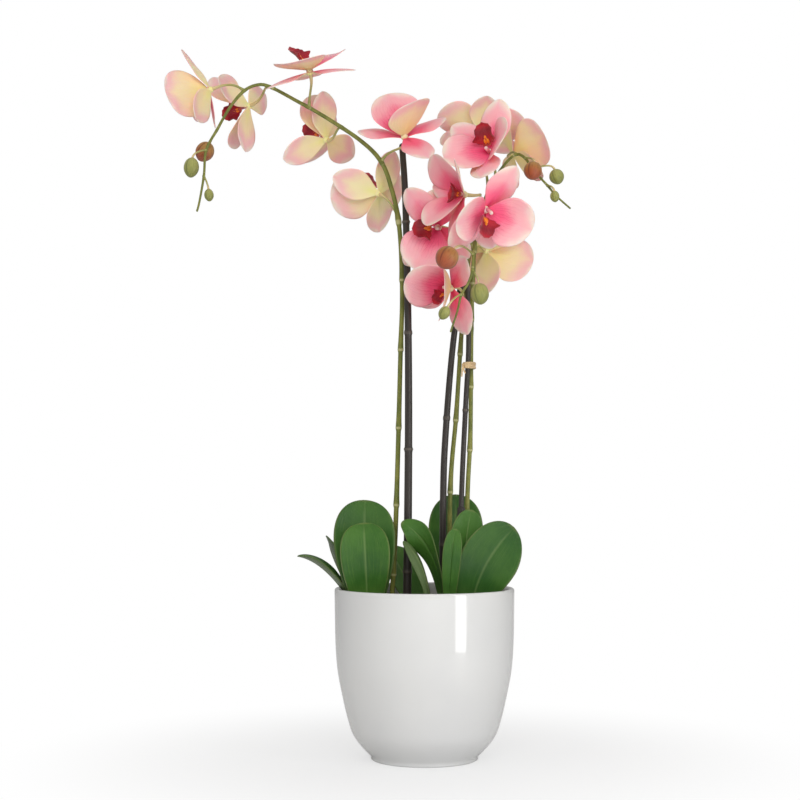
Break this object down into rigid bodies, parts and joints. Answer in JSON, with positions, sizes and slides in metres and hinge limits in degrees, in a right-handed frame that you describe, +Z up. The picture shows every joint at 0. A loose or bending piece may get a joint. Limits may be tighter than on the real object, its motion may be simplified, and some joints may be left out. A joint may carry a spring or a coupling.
{
  "type": "potted orchid",
  "caption": "Tall pink moth orchid with arching flower spikes tied to dark canes, strap leaves and a glossy white round pot.",
  "frame": {"origin": "centre of the flat underside of the pot, on the ground", "axes": "+Z up, +X to the right as seen from the front, +Y towards the back"},
  "size_m": [0.3834, 0.2076, 0.6735],
  "materials": {
    "pot_glaze": "white gloss glaze",
    "nursery_plastic": "dull black",
    "bark": "rough bark",
    "stake": "dark satin cane",
    "stem": "satin olive",
    "raffia": "dry fibre",
    "leaf": "waxy",
    "petal": "soft matte",
    "lip": "soft matte",
    "bud_green": "satin",
    "bud_brown": "satin"
  },
  "bodies": {
    "root": {"pot": "pot_glaze", "nursery_pot": "nursery_plastic", "bark_medium": "bark", "stake_left": "stake", "stake_middle": "stake", "stake_right": "stake", "spike_left": "stem", "spike_front": "stem", "spike_rear": "stem", "tie": "raffia", "leaf_left_front": "leaf", "leaf_left_tall": "leaf", "leaf_left_low": "leaf", "leaf_left_rear": "leaf", "leaf_right_front": "leaf", "leaf_right_pointed": "leaf", "leaf_right_small": "leaf", "leaf_right_arching": "leaf", "leaf_right_thin": "leaf", "leaf_right_rear": "leaf", "leaf_back": "leaf", "flower_a1": "petal", "flower_a2": "petal", "flower_a3": "petal", "flower_a4": "petal", "flower_a5": "petal", "flower_a6": "petal", "flower_r1": "petal", "flower_r2": "petal", "flower_r3": "petal", "flower_r5": "petal", "flower_r6": "petal", "flower_r7": "petal", "flower_r8": "petal", "flower_r9": "petal", "lip_a1": "lip", "lip_a2": "lip", "lip_a3": "lip", "lip_a4": "lip", "lip_a5": "lip", "lip_a6": "lip", "lip_r1": "lip", "lip_r2": "lip", "lip_r3": "lip", "lip_r5": "lip", "lip_r6": "lip", "lip_r7": "lip", "lip_r8": "lip", "lip_r9": "lip", "bud_left_1": "bud_brown", "bud_left_2": "bud_green", "bud_left_3": "bud_green", "bud_front_1": "bud_brown", "bud_front_2": "bud_green", "bud_front_3": "bud_green", "bud_rear_1": "bud_brown", "bud_rear_2": "bud_green", "bud_rear_3": "bud_green"}
  },
  "joints": []
}
